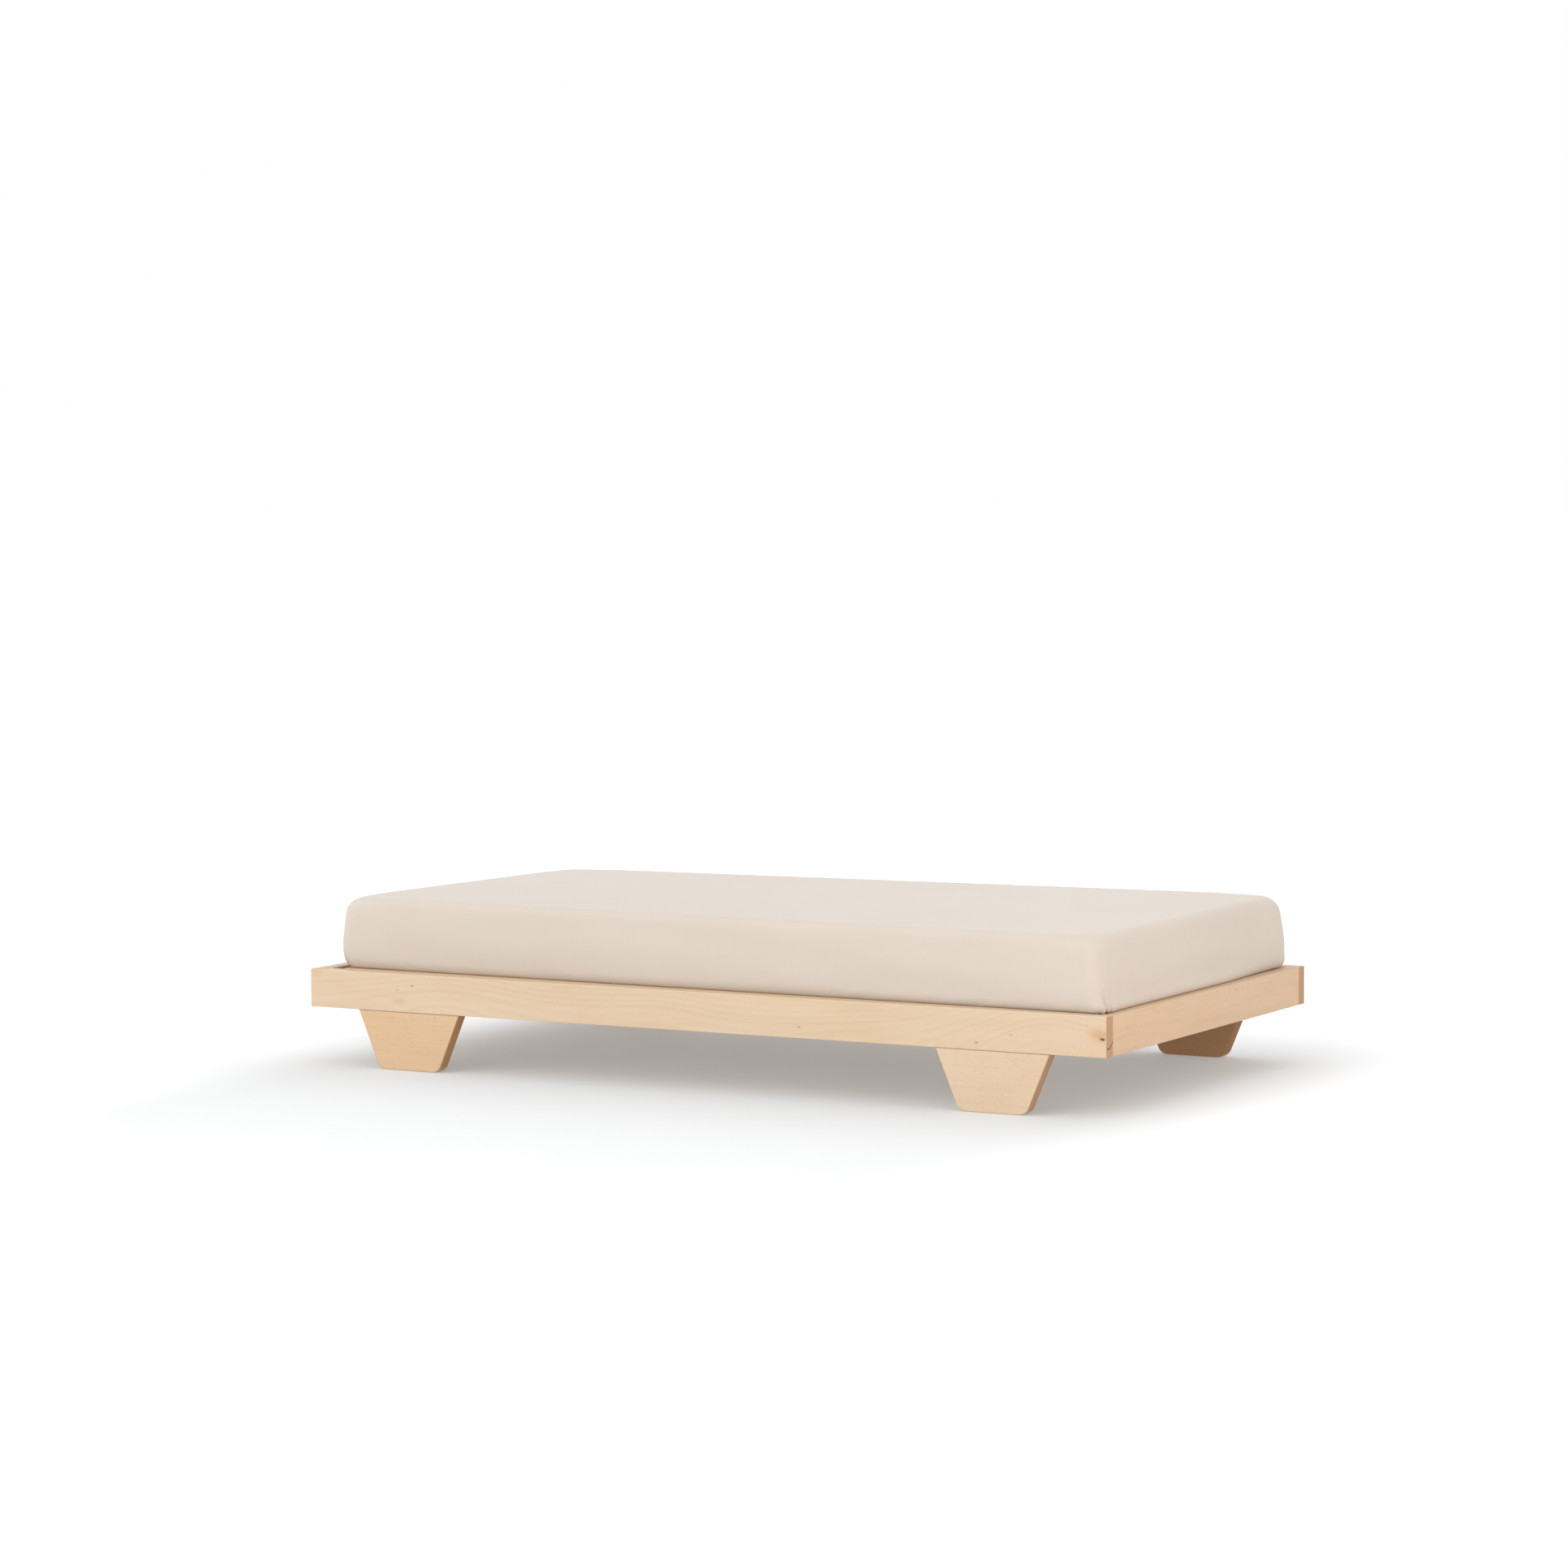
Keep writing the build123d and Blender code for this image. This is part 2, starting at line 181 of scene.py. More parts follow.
def beech(name, along, pith, colour, seed=0.0, pitch=2.6 * MM, rings=0.16, flecks=0.30,
          wander=9 * MM, knots=(), stains=(), hills=(), arc=None, joint_shadow_height=None, rough=0.46, end_tone=0.62):
    """Planed beech. along is the grain's axis, 0 to 2, and pith the growth centre's place on the other two axes.
    knots are (x, y, z, size, depth), and stains (x, y, z, size, share, colour).
    hills bend the rings along the board: (place, width, height).
    arc is a healed split in the end: (centre, radius, middle, reach), with its points on the other two axes.
    The joint's height is where the piece's top end meets another; just below it a fine painted shadow line stands for
    the shade in the crevice between the parts."""
    t = Tree(name)
    across = [a for a in range(3) if a != along]
    place = t.place.outputs["Object"]
    xyz = t.split(place)
    run, side, rise = xyz[along], xyz[across[0]], xyz[across[1]]

    def drawn_out(along_scale, across_scale, shift):
        return t.join(t.math("MULTIPLY", run, along_scale), t.math("MULTIPLY", side, across_scale),
                      t.math("MULTIPLY_ADD", rise, across_scale, shift))

    def around(point, size):
        size_of = tuple(size * (STRETCH if i == along else 1.0) for i in range(3))
        return t.vector("DIVIDE", t.vector("SUBTRACT", place, point), size_of)

    def distance_to(point):
        return t.vector("LENGTH", t.join(t.math("SUBTRACT", side, point[0]), t.math("SUBTRACT", rise, point[1]), 0.0))

    # the growth rings: distance from the pith, wandering along the board
    slow = t.noise(drawn_out(2.3, 7.0, seed), 1.0, 2.0, 0.55)
    slower = t.noise(t.join(t.math("MULTIPLY", run, 0.9), seed + 3.1, 0.0), 1.0, 1.0, 0.5)
    radius = distance_to(pith)
    radius = t.math("ADD", radius, t.math("MULTIPLY", slow, wander))
    radius = t.math("ADD", radius, t.math("MULTIPLY", slower, wander * 4))
    for at, wide, tall in hills:
        off_peak = t.math("DIVIDE", t.math("SUBTRACT", run, at), wide)
        bell = t.math("DIVIDE", 1.0, t.math("ADD", t.math("MULTIPLY", off_peak, off_peak), 1.0))
        radius = t.math("ADD", radius, t.math("MULTIPLY", bell, -tall))
    count = t.math("DIVIDE", radius, pitch)
    uneven = t.noise(t.join(count, seed, 0.0), 0.35, 1.0)
    count = t.math("ADD", count, t.math("MULTIPLY", uneven, 1.6))
    phase = t.math("FRACT", count)
    late = t.math("MULTIPLY", t.math("POWER", t.span(phase, 0.05, 0.90), 2.2), t.span(phase, 0.90, 1.0, 1.0, 0.0))
    each = t.noise(t.join(t.math("FLOOR", count), t.math("MULTIPLY", run, 1.7), seed), 0.9, 1.0)
    ring = t.math("MULTIPLY", late, t.span(each, 0.3, 0.75, 0.25, 1.0))

    # fibres, drawn out along the grain
    fibre = t.noise(drawn_out(14.0, 900.0, seed), 1.0, 3.0, 0.6)
    band = t.noise(drawn_out(3.0, 60.0, seed), 1.0, 2.0, 0.5)
    # ray flecks: short dark spindles
    fine = t.noise(drawn_out(210.0, 1500.0, seed), 1.0, 1.0, 0.4)
    large = t.noise(drawn_out(85.0, 640.0, seed + 5.0), 1.0, 1.0, 0.4)
    fleck = t.math("MAXIMUM", t.span(fine, 0.60, 0.76), t.math("MULTIPLY", t.span(large, 0.655, 0.75), 0.9))
    patch = t.noise(drawn_out(6.0, 16.0, seed + 9.0), 1.0, 2.0, 0.5)

    dark, light = tinted(colour, 0.74), tinted(colour, 1.07)
    warm = (colour[0] * 0.95, colour[1] * 0.86, colour[2] * 0.73, 1.0)
    tone = t.mix(t.span(band, 0.30, 0.72, 0.2, 0.8), colour, light)
    tone = t.mix(t.math("MULTIPLY", t.span(patch, 0.42, 0.78), 0.34), tone, warm)
    tone = t.mix(t.math("MULTIPLY", ring, rings * 2.2), tone, tinted(warm, 0.82))
    tone = t.mix(t.math("MULTIPLY", t.span(fibre, 0.35, 0.75), 0.12), tone, dark)
    tone = t.mix(t.math("MULTIPLY", fleck, flecks), tone, tinted(warm, 0.62))

    for x, y, z, size, share, stain in stains:
        near = around((x, y, z), size)
        far = t.math("ADD", t.vector("LENGTH", near), t.math("MULTIPLY", t.noise(near, 1.1, 3.0), 0.9))
        tone = t.mix(t.span(far, 0.5, 1.9, share, 0.0), tone, stain)
    for x, y, z, size, depth in knots:
        near = around((x, y, z), size)
        far = t.math("ADD", t.vector("LENGTH", near), t.math("MULTIPLY", t.noise(near, 1.3, 1.0), 0.5))
        tone = t.mix(t.span(far, 0.9, 4.0, depth * 0.30, 0.0), tone, tinted(warm, 0.72))
        tone = t.mix(t.span(far, 0.75, 1.25, depth, 0.0), tone, KNOT)

    # end grain: darker, warmer, with the rings as arcs and open pores
    normal = t.split(t.place.outputs["Normal"])[along]
    end = t.span(t.math("ABSOLUTE", normal), 0.55, 0.92)
    pores = t.noise(place, 1900.0, 1.0, 0.5)
    cut = (warm[0] * end_tone, warm[1] * end_tone * 0.87, warm[2] * end_tone * 0.80, 1.0)
    end_colour = t.mix(t.math("MULTIPLY", late, 0.45), tinted(cut, 1.28), tinted(cut, 0.98))
    end_colour = t.mix(t.math("MULTIPLY", t.span(pores, 0.5, 0.75), 0.35), end_colour, tinted(cut, 0.72))
    if arc:
        centre, bend, middle, reach = arc
        off_line = t.math("ABSOLUTE", t.math("SUBTRACT", distance_to(centre), bend))
        line = t.math("MULTIPLY", t.span(off_line, 0.6 * MM, 1.7 * MM, 1.0, 0.0),
                      t.span(distance_to(middle), reach * 0.8, reach, 1.0, 0.0))
        end_colour = t.mix(t.math("MULTIPLY", line, 0.85), end_colour, SPLIT)
    tone = t.mix(end, tone, end_colour)
    # painted shadow: the top 1.5 mm below the joint darkens, for the shade in the crevice between the parts
    if joint_shadow_height:
        tone = t.mix(t.span(rise, joint_shadow_height - 1.5 * MM, joint_shadow_height - 0.5 * MM, 0.0, 0.62), tone, PAINTED_JOINT_SHADOW)

    height = t.math("ADD", t.math("MULTIPLY", fibre, 0.6), t.math("MULTIPLY", fleck, -0.7))
    height = t.math("ADD", height, t.math("MULTIPLY", ring, 0.35))
    height = t.math("ADD", height, t.math("MULTIPLY", t.math("MULTIPLY", pores, end), -1.2))
    gloss = t.math("ADD", fibre, t.math("MULTIPLY", end, 0.4))
    t.set(Base_Color=tone, Metallic=0.0, IOR=1.47, Roughness=t.span(gloss, 0.25, 1.0, rough - 0.05, rough + 0.22),
          Specular_IOR_Level=0.32, Normal=t.bump(height, 0.12 * MM, 0.55))
    return t.material


def steel(name, colour, rough):
    """Plated steel with turned marks and a little dulling."""
    t = Tree(name)
    spots = t.noise(t.place.outputs["Object"], 420.0, 3.0, 0.6)
    marks = t.noise(t.vector("MULTIPLY", t.place.outputs["Object"], (900.0, 900.0, 5200.0)), 1.0, 2.0, 0.6)
    t.set(Base_Color=t.mix(t.span(spots, 0.35, 0.75), colour, tinted(colour, 0.78)), Metallic=1.0,
          Roughness=t.span(t.math("ADD", spots, marks), 0.6, 1.5, rough - 0.06, rough + 0.16),
          Normal=t.bump(marks, 0.03 * MM, 0.35))
    return t.material


# ------------------------------------------------------------------ fabrics
def cotton(name, colour, weave=0.42 * MM, sheen=0.25, deep=0.10 * MM, mottle=0.5):
    """Plain weave. The cloth's own map holds metres along warp and weft."""
    t = Tree(name)
    u, v = t.cloth_map()
    wu = t.math("SINE", t.math("MULTIPLY", u, math.pi / weave))
    wv = t.math("SINE", t.math("MULTIPLY", v, math.pi / weave))
    thread = t.math("MAXIMUM", t.math("MULTIPLY", wu, wv), t.math("MULTIPLY", t.math("ABSOLUTE", wu), 0.55))
    slub_u = t.noise(t.join(t.math("MULTIPLY", u, 60.0), t.math("MULTIPLY", v, 1700.0), 0.0), 1.0, 2.0, 0.55)
    slub_v = t.noise(t.join(t.math("MULTIPLY", u, 1700.0), t.math("MULTIPLY", v, 60.0), 4.0), 1.0, 2.0, 0.55)
    slub = t.math("MULTIPLY", t.math("ADD", slub_u, slub_v), 0.5)
    cloud = t.noise(t.place.outputs["Object"], 5.5, 3.0, 0.5)
    wash = t.noise(t.place.outputs["Object"], 26.0, 2.0, 0.5)
    tone = t.mix(t.math("MULTIPLY", t.span(cloud, 0.30, 0.72), mottle), colour, tinted(colour, 0.955))
    faded = (colour[0] * 1.02, colour[1] * 0.985, colour[2] * 0.95, 1.0)
    tone = t.mix(t.math("MULTIPLY", t.span(wash, 0.40, 0.75), mottle * 0.6), tone, faded)
    tone = t.mix(t.span(slub, 0.42, 0.66, 0.0, 0.35), tone, tinted(colour, 0.88))
    tone = t.mix(t.span(thread, -0.2, 1.0, 0.22, 0.0), tone, tinted(colour, 0.80))
    height = t.math("ADD", t.math("MULTIPLY", thread, 0.6), t.math("MULTIPLY", slub, 0.9))
    t.set(Base_Color=tone, Roughness=t.span(slub, 0.35, 0.7, 0.86, 0.94), Metallic=0.0, IOR=1.45,
          Specular_IOR_Level=0.20, Sheen_Weight=sheen, Sheen_Roughness=0.45,
          Normal=t.bump(height, deep, 0.5))
    return t.material


# ------------------------------------------------------------------- meshes
def mesh_object(name, points, faces, uv=None, smooth=True):
    mesh = bpy.data.meshes.new(name)
    mesh.from_pydata([tuple(p) for p in points], [], [tuple(f) for f in faces])
    if uv is not None:
        layer = mesh.uv_layers.new(name="cloth")
        loops = np.zeros(len(mesh.loops), np.int32)
        mesh.loops.foreach_get("vertex_index", loops)
        layer.data.foreach_set("uv", np.asarray(uv, np.float32)[loops].ravel())
    mesh.validate()
    if smooth:
        mesh.shade_smooth()
    else:
        mesh.shade_flat()
    mesh.update()
    obj = bpy.data.objects.new(name, mesh)
    bpy.context.scene.collection.objects.link(obj)
    return obj


def paint(obj, material):
    obj.data.materials.clear()
    obj.data.materials.append(material)


def smoothstep(x, a, b):
    share = np.clip((x - a) / (b - a), 0, 1)
    return share * share * (3 - 2 * share)


# ------------------------------------------------------------ mattress form
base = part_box("slat_01")[1].z  # what the mattress lies on
low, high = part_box("fitted_sheet")
CENTRE = Vector(((low.x + high.x) / 2 + 0.7 * MM, 1.0 * MM, base))
HALF_X, HALF_Y = (high.x - low.x) / 2 + 3.8 * MM, (high.y - low.y) / 2 + 7.4 * MM
HEIGHT = 118.9 * MM
CROWN = 6 * MM
UNDER = 16 * MM  # how far in the mattress touches the slats
WIDEST = 38.5 * MM  # at the corners
FOLD = 57 * MM  # along the sides, where the cloth shows a soft fold
FOOT_TURN = 21 * MM
LEAN = 5.9 * MM
TOP_IN, TOP_DOWN = 26 * MM, 24 * MM  # how far the top's edge is rounded at the corners
SIDE_EDGE, END_EDGE = (11 * MM, 12 * MM), (17 * MM, 16 * MM)  # the same along the sides and the ends
CORNER = 23 * MM
TUCK = 94 * MM  # of sheet under the mattress, past where it touches
ARC_POINTS, SIDE_POINTS = 24, 16  # of the section, before its rows are spaced
ON_SIDE = 0.99999  # a plan share past this is on the side itself
# rows over the top's edge, down the side, round the foot and under the mattress
SHEET_ROWS, COVER_ROWS, CORE_ROWS = (8, 9, 8, 9), (5, 9, 5, 1), (5, 4, 4, 1)


def lengths_along(points):
    """How far along a polyline each of its points is."""
    return np.concatenate([[0], np.cumsum(np.linalg.norm(np.diff(points, axis=0), axis=1))])


def run_along(points, count):
    """count + 1 points spaced evenly along a polyline of (inset, height)."""
    points = np.array(points)
    far = lengths_along(points)
    at = np.linspace(0, far[-1], count + 1)
    return np.stack([np.interp(at, far, points[:, 0]), np.interp(at, far, points[:, 1])], 1)


def profile(top_in, top_down, widest, rows_top, rows_side, rows_under, rows_tuck):
    """(inset, height) from the top's rim down the side and under, one for each row of the cloth."""
    def lean(z):
        """How far in the side stands at a height: it leans in above and below its widest line, and rounds it."""
        up, down = LEAN / (HEIGHT - widest), 0.085 if widest == FOLD else 0.06
        soft = 1.8 * MM if widest == FOLD else 4 * MM
        above = soft * math.log1p(math.exp((z - widest) / soft))
        below = soft * math.log1p(math.exp((widest - z) / soft))
        return up * above + down * below - (up + down) * soft * math.log(2)

    top = [(LEAN + TOP_IN, HEIGHT)]
    for a in np.linspace(math.pi / 2, 0, ARC_POINTS):
        z = HEIGHT - top_down + top_down * math.sin(a)
        top.append((lean(z) + top_in * (1 - math.cos(a)), z))
    top.append((lean(HEIGHT - TOP_DOWN), HEIGHT - TOP_DOWN))
    start = min(FOOT_TURN, widest)
    side = [(lean(z), z) for z in np.linspace(HEIGHT - TOP_DOWN, start, SIDE_POINTS)]
    foot = [(lean(start) + (UNDER - lean(start)) * (1 - math.cos(a)), start * (1 - math.sin(a)))
            for a in np.linspace(0, math.pi / 2, ARC_POINTS)]
    rows = [run_along(top, rows_top), run_along(side, rows_side)[1:], run_along(foot, rows_under)[1:],
            run_along([(UNDER, 0.0), (UNDER + TUCK, 0.0)], rows_tuck)[1:]]
    return np.concatenate(rows)


def plan_radius(share_x, inset, z):
    """The plan's corner radius at a height: rounder at the top and at the left foot, and squarer at the right foot."""
    above = smoothstep(z, WIDEST, HEIGHT)
    below = 1 - smoothstep(z, 0.0, WIDEST)
    return CORNER + above * 9 * MM + below * np.where(share_x < 0, 9, -9) * MM + np.maximum(inset - UNDER, 0) * 0.1


def stations(half, fine=4.2 * MM, reach=34 * MM, step=10.5 * MM):
    """Places along half a side, closer together near the corner, as shares from -1 to 1."""
    edge = np.arange(0, reach, fine)
    middle = np.linspace(-half + reach, half - reach, max(4, int(round((2 * half - 2 * reach) / step))) + 1)
    line = np.concatenate([-half + edge, middle, half - edge[::-1]])
    return line / half


def form(share_x, share_y, inset, z, radius, grow=0.0):
    """Points of the mattress's skin. Shares run from -1 to 1 over the plan, and one of them is 1 or -1 on the sides."""
    half_x, half_y = HALF_X - inset + grow, HALF_Y - inset + grow
    x, y = share_x * half_x, share_y * half_y
    r = np.minimum(radius, 0.9 * half_y)
    cx, cy = np.clip(x, -(half_x - r), half_x - r), np.clip(y, -(half_y - r), half_y - r)
    dx, dy = x - cx, y - cy
    length = np.hypot(dx, dy)
    both = (np.abs(dx) > 1e-9) & (np.abs(dy) > 1e-9)
    scale = np.where(both, np.maximum(np.abs(dx), np.abs(dy)) / np.maximum(length, 1e-9), 1.0)
    return cx + dx * scale, cy + dy * scale, z


def settle(x, y, z):
    """The mattress's own unevenness: a slight tilt and twist of the top, a fuller right end and a foot that leans."""
    u, v, w = x / 0.7, y / 0.35, np.clip(z / HEIGHT, 0, 1.2)
    right = smoothstep(u, 0.80, 0.98)
    x = x + right * (3.6 + 0.6 * v) * MM * np.sin(math.pi * np.clip(w, 0, 1) ** 0.6)
    x = x + right * (12.0 - 10.5 * smoothstep(v, 0.2, 1.0)) * MM * (1 - smoothstep(z, 0.0, 28 * MM))
    z = z + (2.4 * u - 1.3 * v + 3.3 * u * v) * MM * w
    y = y - 8.0 * MM * u * (1 - np.clip(w, 0, 1))
    return x, y, z


def from_corner(share):
    """For each point of a side: the nearest corner, 0 to 3, and how far it is along the edge.
    The distance is below 0 on the long sides and above 0 on the ends."""
    right, back = share[:, 0] > 0, share[:, 1] > 0
    along_x = (1 - np.abs(share[:, 0])) * HALF_X
    along_y = (1 - np.abs(share[:, 1])) * HALF_Y
    on_end = np.abs(share[:, 0]) > ON_SIDE
    return right.astype(int) + 2 * back.astype(int), np.where(on_end, along_y, -along_x)


def skin(grow=0.0, tuck=True, fine=4.2 * MM, step=10.5 * MM, share_rows=SHEET_ROWS):
    """The mattress's skin: a top grid and rows down the sides, then a tucked hem or, without tuck, a grid closing it.
    Returns points, faces, uv, and each point's row and plan share; the grid underneath has row -1."""
    sx, sy = stations(HALF_X, fine, step=step), stations(HALF_Y, fine, step=step)
    round_rows = profile(TOP_IN, TOP_DOWN, WIDEST, *share_rows)
    side_rows = profile(*SIDE_EDGE, FOLD, *share_rows)
    end_rows = profile(*END_EDGE, FOLD, *share_rows)
    levels = len(round_rows) if tuck else sum(share_rows[:3]) + 1
    nx, ny = len(sx), len(sy)
    gx, gy = np.meshgrid(sx, sy, indexing="ij")
    inset, z = round_rows[0]
    x, y, _ = form(gx, gy, inset, z, plan_radius(gx, inset, z), grow)
    crown = CROWN * (1 - gx**4) * (1 - gy**2)
    top = np.stack([x.ravel(), y.ravel(), (z + crown + grow).ravel()], 1)
    index = np.arange(nx * ny).reshape(nx, ny)
    loop = [(i, 0) for i in range(nx)] + [(nx - 1, j) for j in range(1, ny)]
    loop += [(i, ny - 1) for i in range(nx - 2, -1, -1)] + [(0, j) for j in range(ny - 2, 0, -1)]
    ring = np.array([index[i, j] for i, j in loop])
    shares = np.array([(sx[i], sy[j]) for i, j in loop])
    faces = [(index[i, j], index[i + 1, j], index[i + 1, j + 1], index[i, j + 1])
             for i in range(nx - 1) for j in range(ny - 1)]
    points, uv = [top], [top[:, :2]]
    row_of, share_of = [np.zeros(nx * ny, int)], [np.stack([gx.ravel(), gy.ravel()], 1)]
    run = 0.0
    out = np.where(np.abs(shares) > ON_SIDE, np.sign(shares), 0.0)
    out = out / np.linalg.norm(out, axis=1, keepdims=True)
    start, count = top[ring, :2], len(ring)
    _, off = from_corner(shares)
    plain = smoothstep(np.abs(off), 0.020, 0.120)[:, None]  # away from a corner, the side has its own section
    flat_rows = np.where((off > 0)[:, None, None], end_rows[None], side_rows[None])
    sections = round_rows[None] * (1 - plain[:, :, None]) + flat_rows * plain[:, :, None]
    for k in range(1, levels):
        inset, z = sections[:, k].T
        x, y, _ = form(shares[:, 0], shares[:, 1], inset, z, plan_radius(shares[:, 0], inset, z), grow)
        run += float(np.linalg.norm(round_rows[k] - round_rows[k - 1]))
        fresh = nx * ny + (k - 1) * count + np.arange(count)
        faces += [(ring[c], fresh[c], fresh[(c + 1) % count], ring[(c + 1) % count]) for c in range(count)]
        points.append(np.stack([x, y, z + grow * (2 * z / HEIGHT - 1)], 1))
        uv.append(start + out * run)
        row_of.append(np.full(count, k))
        share_of.append(shares)
        ring = fresh
    if not tuck:
        inset = round_rows[levels - 1][0]
        x, y, _ = form(gx, gy, inset, 0.0, plan_radius(gx, inset, 0.0), grow)
        below = nx * ny + (levels - 1) * count
        under = np.full((nx, ny), -1)
        for c, (i, j) in enumerate(loop):
            under[i, j] = ring[c]
        inner = [(i, j) for i in range(1, nx - 1) for j in range(1, ny - 1)]
        for n, (i, j) in enumerate(inner):
            under[i, j] = below + n
        faces += [(under[i, j], under[i, j + 1], under[i + 1, j + 1], under[i + 1, j])
                  for i in range(nx - 1) for j in range(ny - 1)]
        cut = (slice(1, nx - 1), slice(1, ny - 1))
        points.append(np.stack([x[cut].ravel(), y[cut].ravel(), np.full(len(inner), -grow)], 1))
        uv.append(np.stack([x[cut].ravel(), y[cut].ravel() + 2.0], 1))
        row_of.append(np.full(len(inner), -1))
        share_of.append(np.stack([gx[cut].ravel(), gy[cut].ravel()], 1))
    points = np.concatenate(points)
    points = np.stack(settle(*points.T), 1) + np.array(CENTRE)
    return points, faces, np.concatenate(uv), np.concatenate(row_of), np.concatenate(share_of)


def waves(x, y, seed, long, short, turns=7):
    """Smooth unevenness from -1 to 1, long in x and short in y, the same each run."""
    total = np.zeros_like(x)
    for i in range(turns):
        a, b = math.sin(12.9 * i + seed) * 43758.5, math.sin(78.2 * i + seed * 1.7) * 24634.6
        fx, fy = (0.45 + (a % 1.0)) / long, (0.45 + (b % 1.0)) / short
        total += np.sin(2 * math.pi * (x * fx + (-1) ** i * y * fy + (a * 7) % 1.0)) / (1 + 0.3 * i)
    return total / sum(1 / (1 + 0.3 * i) for i in range(turns)) * 1.6


def normals_of(obj):
    n = np.zeros(len(obj.data.vertices) * 3, np.float32)
    obj.data.vertex_normals.foreach_get("vector", n)
    return n.reshape(-1, 3).astype(float)


def places_of(obj):
    co = np.zeros(len(obj.data.vertices) * 3, np.float32)
    obj.data.vertices.foreach_get("co", co)
    return co.reshape(-1, 3).astype(float)


def move_to(obj, co):
    obj.data.vertices.foreach_set("co", np.asarray(co, np.float32).ravel())
    obj.data.update()


def simulate(obj, pins, cap, tension, bending, frames=20, pressure=0.0, gravity=0.0, slack=0.0, against=(), mass=0.2):
    """Runs Cloth on a mesh and writes the result into it. pins is how firmly some points are held, by their index.
    cap is how far a point may move."""
    group = obj.vertex_groups.new(name="held")
    for i, weight in pins.items():
        group.add([int(i)], weight, "REPLACE")
    for other in against:
        other.modifiers.new("hit", "COLLISION")
        other.collision.thickness_outer = 0.0008
        other.collision.thickness_inner = 0.006
        other.collision.cloth_friction = 20
    rest = places_of(obj)
    cloth = obj.modifiers.new("cloth", "CLOTH")
    c = cloth.settings
    c.quality, c.mass, c.air_damping = 5, mass, 3.0
    c.tension_stiffness = c.compression_stiffness = c.shear_stiffness = tension
    c.bending_stiffness = bending
    c.vertex_group_mass = "held"
    c.effector_weights.gravity = gravity
    c.shrink_min = -slack
    if pressure:
        c.use_pressure, c.uniform_pressure_force = True, pressure
    cloth.collision_settings.use_collision = bool(against)
    cloth.collision_settings.distance_min = 0.0012
    cloth.collision_settings.use_self_collision = False
    scene = bpy.context.scene
    cloth.point_cache.frame_start, cloth.point_cache.frame_end = 1, frames
    for f in range(1, frames + 1):
        scene.frame_set(f)
    graph = bpy.context.evaluated_depsgraph_get()
    made = obj.evaluated_get(graph).to_mesh()
    co = np.zeros(len(made.vertices) * 3, np.float32)
    made.vertices.foreach_get("co", co)
    obj.evaluated_get(graph).to_mesh_clear()
    obj.modifiers.remove(cloth)
    for other in against:
        other.modifiers.remove(other.modifiers["hit"])
    obj.vertex_groups.remove(obj.vertex_groups["held"])
    scene.frame_set(1)
    shift = co.reshape(-1, 3).astype(float) - rest
    size = np.linalg.norm(shift, axis=1, keepdims=True)
    shift *= np.minimum(1.0, cap * np.tanh(size / cap) / np.maximum(size, 1e-9))
    move_to(obj, rest + shift)


def soften(obj, only):
    """Evens out what is left of the grid in part of a mesh: each point goes halfway to the middle of its neighbours."""
    edges = np.zeros(len(obj.data.edges) * 2, np.int32)
    obj.data.edges.foreach_get("vertices", edges)
    a, b = edges.reshape(-1, 2).T
    co = places_of(obj)
    count = np.bincount(np.concatenate([a, b]), minlength=len(co)).astype(float)[:, None]
    total = np.zeros_like(co)
    for axis in range(3):
        total[:, axis] = np.bincount(a, co[b, axis], len(co)) + np.bincount(b, co[a, axis], len(co))
    moved = co + (total / count - co) * 0.5
    move_to(obj, np.where(only[:, None], moved, co))


# ---- the foam core: a cut block, hidden by its cover
core_points, core_faces, core_uv, _, _ = skin(
    grow=-8 * MM, tuck=False, fine=11 * MM, step=24 * MM, share_rows=CORE_ROWS)
core = mesh_object("mattress_foam_core", core_points, core_faces, core_uv)
t = Tree("foam_open_cell")
pores = t.cells(t.place.outputs["Object"], 900.0)
big = t.cells(t.place.outputs["Object"], 320.0)
foam = t.mix(t.span(pores, 0.15, 0.55), (0.50, 0.46, 0.34, 1.0), (0.76, 0.73, 0.60, 1.0))
foam = t.mix(t.math("MULTIPLY", t.noise(t.place.outputs["Object"], 7.0, 3.0), 0.3), foam, (0.70, 0.62, 0.40, 1.0))
t.set(Base_Color=foam, Roughness=t.span(big, 0.2, 0.8, 0.97, 0.85), Specular_IOR_Level=0.15, Sheen_Weight=0.2,
      Normal=t.bump(t.math("ADD", pores, big), 0.8 * MM, 0.7))
paint(core, t.material)
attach(core, "mattress")
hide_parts("mattress_core")

# ---- the quilted cover: its stitch lines hold while the wadding swells between them
cover_points, cover_faces, cover_uv, cover_row, cover_share = skin(
    grow=-3.6 * MM, tuck=False, fine=6 * MM, step=9.5 * MM, share_rows=COVER_ROWS)
cover = mesh_object("mattress_quilted_cover", cover_points, cover_faces, cover_uv)
DIAMOND = 0.115  # between stitch lines, along X and Y
TOP_SEAM, FOOT_SEAM = 4, 16  # rows
flat = cover_row <= 0
dx, dy = cover_points[:, 0] - CENTRE.x, cover_points[:, 1] - CENTRE.y
lines = np.minimum(*(np.abs((d / DIAMOND + 0.5) % 1 - 0.5) for d in (dx + dy, dx - dy))) * DIAMOND / math.sqrt(2)
stitch = flat & (lines < 3.4 * MM)
seam_rows = (cover_row == TOP_SEAM) | (cover_row == FOOT_SEAM)
rim = (np.abs(cover_share) > ON_SIDE).any(1) & flat
held = {i: 1.0 for i in np.nonzero(stitch | seam_rows)[0]}
simulate(cover, held, pressure=4.0, cap=2.6 * MM, tension=12, bending=0.3)
co, n = places_of(cover), normals_of(cover)
puff = np.where(flat & ~rim, -2.0 * MM * np.exp(-((lines / (4.2 * MM)) ** 2)), 0.0)
puff += np.where(seam_rows, 1.3 * MM, 0.0)
